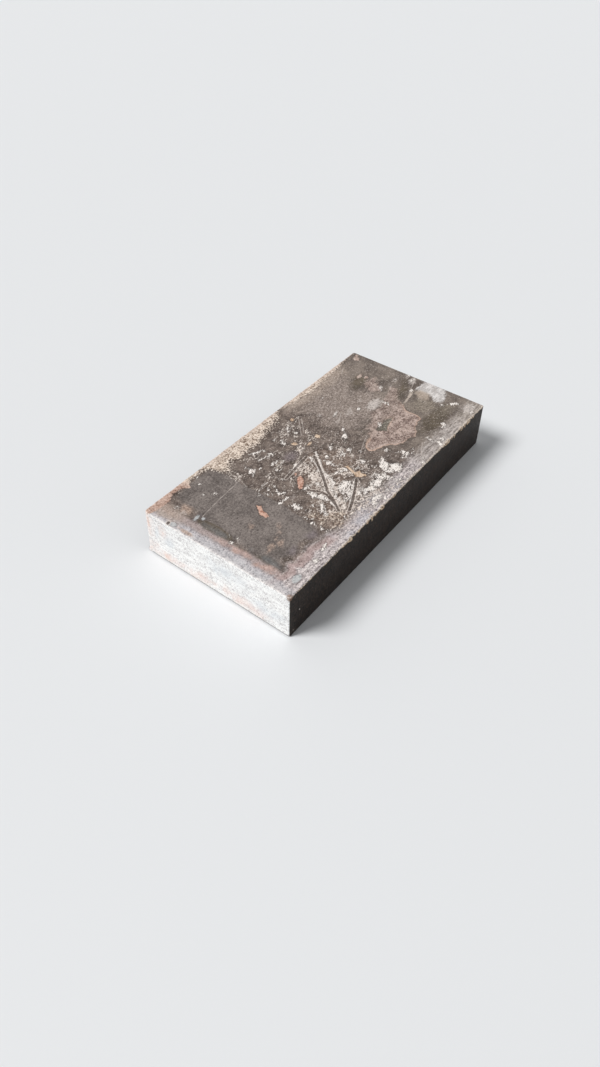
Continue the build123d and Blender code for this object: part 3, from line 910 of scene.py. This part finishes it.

    # Pale dust lies in the middle, golden at the left, with a painted shadow round it. Chalk lies at the
    # right.
    golden = (mark("gold") * 0.8 + 0.4 * middling).between(-0.5, 0.8)
    strand = 0.5 - 2.2 * web.at_least(-web)
    dust_depth = mark("dust") * 1.15 + 0.60 * lace + 0.90 * speck + 0.50 * strand - 0.15 * golden
    dust = dust_depth.between(0.62, 1.0) * mark("dust").between(0.02, 0.15).at_least(right_part * 0.3)
    dusty = covered(
        (fine + 0.5 * speck).shades(-0.75, 0.35, (168, 147, 132), (254, 242, 232)),
        (golden * 0.85, (fine + 0.5 * speck + 0.6 * middling).shades(
            -0.4, 0.8, (128, 100, 80), (254, 238, 220))),
    )
    skin = covered(
        skin,
        (tint * (1.0 - lilac * 0.7), band),
        ((mark("tan") * 0.7 + 0.5 * middling + 0.3 * fine).between(-0.3, 0.9) * 0.75,
         (fine + 0.4 * speck).shades(-0.7, 0.7, (146, 124, 112), (212, 184, 165))),
        ((mark("brown") * 0.5 + 0.5 * middling).between(-0.6, 0.8) * 0.6,
         (fine + 0.6 * middling).shades(-0.8, 0.8, (98, 80, 69), (166, 146, 133))),
        # painted shadow round the raised dust
        (dust_depth.between(0.05, 0.6) * (1.0 - dust) * mark("dust").between(0.2, 0.7) * 0.55, (66, 56, 50)),
        (dust * 0.92, dusty),
        ((mark("cloud") * 0.8 + 0.6 * streak + 0.6 * fine).between(-0.3, 1.0) * 0.7,
         grit.mixed((172, 160, 153), (216, 204, 197))),
        # pale worn places, and a painted highlight at the right front corner
        ((mark("pale") * 1.2 + 0.5 * middling + 0.5 * fine + 0.3 * speck).between(-0.4, 0.8) * 0.85,
         grit.mixed((178, 168, 161), (226, 216, 209))),
        ((mark("stroke") * 1.3 + 0.25 * fine).between(-0.1, 0.45) * 0.85,
         grit.mixed((176, 160, 147), (228, 214, 200))),
        ((mark("chalk") + 0.5 * middling + 0.4 * fine + 0.3 * brush).between(-0.6, 0.7) * 0.95,
         (middling + 0.5 * fine + 0.5 * brush).shades(-0.8, 0.8, (184, 177, 173), (238, 233, 230))),
        ((mark("beige") + 0.5 * middling + 0.3 * fine).between(-0.8, 1.0) * 0.85,
         grit.mixed((164, 148, 134), (200, 184, 169))),
    )

    # The water stain is firm in front and fainter behind, with a pale orange rim where it dried last.
    upper = from_front.between(17.0, 23.0)
    stain_depth = mark("stain") / (1.0 + 2.5 * upper) + 0.22 * fine + 0.16 * streak
    stain = stain_depth.between(-0.15, 0.25)
    stain_rim = stain_depth.between(-0.20, 0.05) * stain_depth.fading(0.15, 0.55) * (1.0 - upper)
    rim_shows = (from_end.fading(61.0, 68.0) * 0.85).at_least(from_end.between(76.5, 80.5) * 0.6)
    rim_shows = rim_shows.at_least((slow + 0.9 * middling + 0.3 * fine).between(-0.9, 0.9) * 0.65)
    skin = covered(
        skin,
        (stain * (0.92 - 0.30 * upper),
         (middling + 0.9 * fine + 0.8 * speck).shades(-1.0, 1.0, (107, 86, 78), (210, 188, 177))),
        (stain_depth.between(-1.2, -0.2) * (1.0 - stain) * (1.0 - upper) * 0.25, (84, 74, 68)),
        ((mark("hole") + 0.3 * fine).between(-0.2, 0.5) * 0.6,
         (fine + 0.6 * speck).shades(-0.3, 1.0, (98, 95, 84), (184, 176, 163))),
        (stain_rim * rim_shows, (210, 178, 158)),
    )

    # Sandy scale lies along the back edge, ragged in the middle, calm at both sides and rusty at the left.
    calm = from_end.fading(18.0, 24.0).at_least(from_end.between(56.0, 62.0))
    rusty = (from_end + 2.0 * slow).fading(13.0, 19.0)
    sand_depth = mark("sand") * (0.42 + 0.18 * calm + 0.45 * rusty)
    sand_depth = sand_depth + (fine + 0.7 * speck) * (1.0 - 0.65 * calm)
    sand = sand_depth.between(0.0, 0.6)
    strip = (from_front + 0.3 * middling).between(48.3, 49.0) * from_end.between(18.0, 24.0)
    sandy = covered(
        (fine + 0.8 * speck + 0.5 * middling).shades(-1.0, 0.8, (122, 99, 82), (252, 234, 217)),
        ((fine + speck).between(0.2, 1.2), (255, 244, 232)),
        (strip * 0.55, grit.mixed((184, 162, 148), (228, 208, 194))),
        (rusty * 0.9, (fine + 0.5 * middling).shades(-0.9, 0.9, (156, 122, 106), (218, 187, 172))),
    )

    # Then come the sand with a painted shadow along its edge, the green spots with a dark outline, and the
    # crust and the rust flakes, each with a painted shadow round it.
    green_depth = mark("green") + 0.15 * fine
    crust_depth = mark("crust") * 1.7 + 1.2 * lace + 0.9 * speck
    crust = crust_depth.between(0.12, 0.42)
    tanner = from_end.between(43.0, 45.0)
    far = from_end.between(80.0, 84.0)
    flake_depth = mark("flake") + 0.22 * fine + (0.12 + 0.20 * tanner) * speck
    flake = flake_depth.between(-0.08, 0.12)
    flake_dark = far.mixed(tanner.mixed((172, 118, 98), (188, 152, 122)), (190, 162, 148))
    flake_light = far.mixed(tanner.mixed((230, 190, 170), (238, 213, 188)), (224, 204, 192))
    skin = covered(
        skin,
        # painted shadow along the edge of the raised sand
        (sand_depth.between(-0.9, -0.1) * (1.0 - sand) * (0.5 - 0.45 * calm), (92, 78, 68)),
        (sand, sandy),
        (green_depth.between(-0.40, -0.10) * 0.45, (122, 114, 114)),
        (green_depth.between(-0.02, 0.22) * 0.85, fine.shades(-0.8, 0.8, (172, 174, 174), (212, 213, 213))),
        # painted shadow round the crust
        (crust_depth.between(-0.5, 0.15) * (1.0 - crust) * 0.65, (66, 56, 50)),
        (crust, (fine + 0.6 * speck).shades(-0.9, 0.0, (178, 156, 141), (255, 247, 240))),
        # painted shadow round the rust flakes
        (flake_depth.between(-0.4, -0.1) * (1.0 - flake) * 0.5, (72, 60, 53)),
        (flake * (0.92 - 0.2 * far),
         (fine + 0.5 * middling).between(-0.7, 0.6).mixed(flake_dark, flake_light)),
    )

    # Scratches and grooves cut through all of it, with burrs beside them, and a fine grain lies over the
    # whole top. A pale line and a torn hem follow the front edge, and the chip shows brown metal.
    beside = mark("groove") + 0.12 * fine
    groove = beside.fading(0.26, 0.48)
    burr = beside.between(0.34, 0.48) * beside.fading(0.54, 0.76) * (fine + 0.6).between(-0.2, 0.4)
    front_line = (0.75 - from_front + 0.35 * fine + 0.3 * middling).between(-0.1, 0.3)
    hem = (mark("reach") * 0.75 - from_front + 0.35 * fine + 0.2 * speck).between(-0.05, 0.25)
    chip = (mark("chip") + 0.3 * fine).between(0.0, 0.5)
    skin = covered(
        skin,
        ((mark("scratch") + 0.06 * fine).fading(0.0, 0.22) * 0.75, (208, 196, 188)),
        (burr * (0.7 * middling + 0.6 * fine).between(-0.9, 0.3) * 0.85, (230, 217, 208)),
        ((mark("hair") + 0.05 * fine).fading(0.06, 0.28) * (0.8 + 0.3 * middling), (238, 227, 218)),
        (groove * 0.9, (fine + 0.4 * speck).shades(-0.8, 0.8, (78, 68, 62), (122, 108, 99))),
        ((speck + 0.6 * fine).between(0.30, 1.1) * (0.60 - 0.47 * left_patch), (226, 214, 206)),
        ((-speck - 0.6 * fine).between(0.25, 1.1) * 0.68, (56, 47, 43)),
        (front_line * from_end.between(14.0, 24.0) * 0.7,
         (fine + 0.7 * speck).shades(-0.8, 0.6, (176, 158, 144), (246, 232, 216))),
        (hem * 0.85, (fine + 0.9 * speck).shades(-0.6, 0.7, (96, 78, 66), (246, 224, 198))),
        (chip * 0.8, fine.shades(-0.6, 0.6, (110, 84, 70), (186, 158, 140))),
    )

    # The ends are bright cut steel, grainy and faintly wiped along the edge, with pink and blue grey clouds.
    wipe = noise(0.8, 4.0, 0.7, squeezed((1.0, 0.25, 1.0)))
    scorched = (mark("orange") * 1.2 + 0.5 * middling + 0.5 * fine).between(0.1, 1.0)
    end_light = covered(
        (0.6 * wipe + 0.7 * fine + 0.8 * speck).shades(-1.1, 0.5, (182, 178, 178), (255, 255, 253)),
        ((mark("orange") * 0.6 + 0.9 * middling + 0.3 * fine).between(-1.2, 1.2) * 0.75,
         grit.mixed((224, 194, 182), (248, 232, 225))),
        (scorched * from_front.between(40.0, 46.0) * 0.7,
         fine.shades(-0.7, 0.7, (206, 158, 132), (236, 204, 186))),
        ((mark("blue") * 0.6 + 0.9 * middling + 0.3 * fine).between(-1.2, 1.4) * 0.65,
         grit.mixed((198, 204, 208), (232, 236, 240))),
    )

    # The long sides are dark scale, painted darker still with the shade that the front side stands in, with
    # pale crumbs that hang over the front edge. The back one has rust clouds, and sand that fell over its
    # edge.
    drag = noise(2.2, 3.0, 0.6, squeezed((1.0, 1.0, 0.2)))
    on_back = face_y.between(0.3, 0.7)
    rust_cloud = (slow + 0.7 * middling + 0.4 * fine).between(-0.2, 1.0) * on_back
    spill = z - 14.5 + 0.35 * fine + 0.3 * speck + 0.14 * mark("sand").at_most(5.0) - 0.2
    side_scale_and_shade = covered(
        # dark scale, with painted shade in its colour
        (0.7 * drag + fine + 0.5 * middling + 0.5 * speck).shades(-1.0, 1.0, (12, 8, 7), (51, 41, 35)),
        (rust_cloud * 0.6, fine.shades(-0.8, 0.8, (46, 35, 28), (92, 72, 58))),
        (spill.between(0.0, 0.4) * on_back * 0.8, fine.shades(-0.8, 0.8, (120, 98, 80), (226, 204, 184))),
        ((speck + 0.5 * fine).between(0.35, 0.95) * 0.6, (104, 88, 77)),
        ((mark("lip") + 0.45 * fine + 0.55 * speck).between(0.02, 0.18),
         (fine + 0.6 * speck).shades(-0.6, 0.4, (146, 112, 86), (255, 228, 194))),
        ((mark("dot") + 0.08 * fine).between(0.0, 0.08), (244, 236, 228)),
        (mark("burr").between(-0.05, 0.10), (246, 232, 216)),
    )

    # The underside keeps its mill skin, with clouds of rust.
    under_skin = covered(
        (middling + 0.5 * slow + 0.4 * fine).shades(-0.8, 0.8, (104, 97, 94), (152, 142, 135)),
        ((slow + 0.8 * middling + 0.5 * fine + 0.3 * speck).between(0.1, 0.9) * 0.75,
         (fine + 0.6 * speck).shades(-0.8, 0.8, (128, 98, 80), (196, 166, 144))),
        ((lace + 0.6 * speck).between(0.7, 1.3) * 0.6, (214, 204, 196)),
    )

    # The sides meet the top at a worn rim that is also painted bright as a highlight, and the foot is painted
    # dark with burnt scale and a contact shadow, apart from the slag drop.
    on_end = (face_x * face_x + 0.12 * fine).between(0.40, 0.70)
    on_top = (face_z + 0.25 * fine).between(0.30, 0.75)
    # The rim is painted pale: partly wear on the edge, partly a painted highlight along it.
    rim_wear_and_highlight = face_z.between(0.15, 0.6) - face_z.between(0.985, 1.0)
    rim_highlight_strength = 0.25 + 0.6 * face_x.between(0.2, 0.6).at_least((-face_x).between(0.2, 0.6))
    drop = (1.6 - from_end - (width - from_front)).between(-0.3, 0.3)
    # A dark band at the foot: partly burnt scale, partly a painted contact shadow where the plate meets the
    # floor.
    burnt_foot_and_contact_shadow = (0.50 - z + 0.10 * fine).between(-0.10, 0.15) * (1.0 - drop)
    colour = covered(
        side_scale_and_shade,
        (on_end, end_light),
        (chip * 0.8, (140, 112, 94)),
        (on_top, skin),
        # painted highlight and wear along the top rim
        (rim_wear_and_highlight * (fine + 0.6 * speck).between(-0.7, 0.5) * rim_highlight_strength, (240, 233, 228)),
        # burnt scale and painted contact shadow at the foot
        (burnt_foot_and_contact_shadow * 0.95, (38, 32, 29)),
        ((-face_z).between(0.8, 0.98), under_skin),
    )
    powder = crust.at_least(sand).at_least(dust)
    height = 0.5 * fine + 0.4 * speck + 0.3 * streak + on_top * (0.9 * powder + 0.6 * flake - 1.4 * groove)
    normal = start.node("ShaderNodeBump", {}, {
        "Strength": 0.7, "Distance": 0.06 * mm, "Height": height}, "Normal")
    roughness = 0.50 + 0.10 * middling + 0.32 * powder * on_top - 0.06 * on_end
    shader = tree.nodes["Principled BSDF"]
    for name, value in {"Base Color": colour, "Roughness": roughness, "Normal": normal}.items():
        tree.links.new(value.socket, shader.inputs[name])
    shader.inputs["Specular IOR Level"].default_value = 0.15
    mesh.materials.append(paint)


# The cut washed out the back left corner, where a drop of slag froze at the foot, and the left front corner
# of the top is chipped along a slanting plane.
drop_axis = (-49.27, 24.27)
drop_foot, drop_bulge, drop_bulge_height, drop_top = 0.60, 0.82, 0.67, 1.6
chip_reach = 0.8


def swell_drop(points):
    """Pushes the skin near the drop's axis out to the drop, whose radius grows from its foot to its bulge
    and shrinks to nothing at its top."""
    x, y, z = points[:, 0] - drop_axis[0], points[:, 1] - drop_axis[1], points[:, 2]
    below = drop_foot + (drop_bulge - drop_foot) * np.sin(np.pi / 2 * np.clip(z / drop_bulge_height, 0, 1))
    above = np.clip((z - drop_bulge_height) / (drop_top - drop_bulge_height), 0, 1)
    radius = np.where(z < drop_bulge_height, below, drop_bulge * np.sqrt(1 - above ** 2))
    away = np.hypot(x, y)
    outer = eased(np.where(away > 1e-6, (y - x) / np.maximum(away, 1e-6), 0.0), 0.1, 0.9)
    push = np.maximum(radius - away, 0.0) * outer / np.maximum(away, 0.05)
    moved = points.copy()
    moved[:, 0] += x * push
    moved[:, 1] += y * push
    return moved


def break_chip(points):
    """Lays what stands beyond the chip's slanting plane back onto it, with a rough break."""
    inset = thickness * np.tan(lean)
    corner = np.array([inset[3] - length / 2, inset[0] - width / 2, thickness])
    normal = np.array([-1.0, -1.0, 1.0]) / np.sqrt(3.0)
    beyond = (points - corner - np.array([chip_reach, 0.0, 0.0])) @ normal
    rough = 0.05 * grain(points[:, 0], points[:, 1], points[:, 2], 0.5, 91) + 0.05
    return points - normal * (np.maximum(beyond, 0.0) + rough * (beyond > 0))[:, None]


def make_plate():
    """Raises the relief along the way each point of the plain skin faces, and stores the marks."""
    points, facing, fours, wedges = plain_plate()
    marks = read_marks(points)
    raised = points + facing * relief(points, facing, marks)[:, None]
    raised = break_chip(swell_drop(raised))
    raised[:, 2] = np.maximum(raised[:, 2], 0.0)
    mesh = bpy.data.meshes.new("steel_plate")
    mesh.from_pydata((raised * mm).tolist(), [], fours.tolist() + wedges.tolist())
    mesh.shade_smooth()
    for name, value in marks.items():
        mesh.attributes.new(name, "FLOAT", "POINT").data.foreach_set("value", value.astype(np.float32))
    ways = mesh.attributes.new("facing", "FLOAT_VECTOR", "POINT")
    ways.data.foreach_set("vector", facing.astype(np.float32).ravel())
    finish_plate(mesh)
    plate = bpy.data.objects.new("rolled_plate", mesh)
    bpy.context.collection.objects.link(plate)
    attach(plate, "root")
    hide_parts("steel_plate")


make_plate()
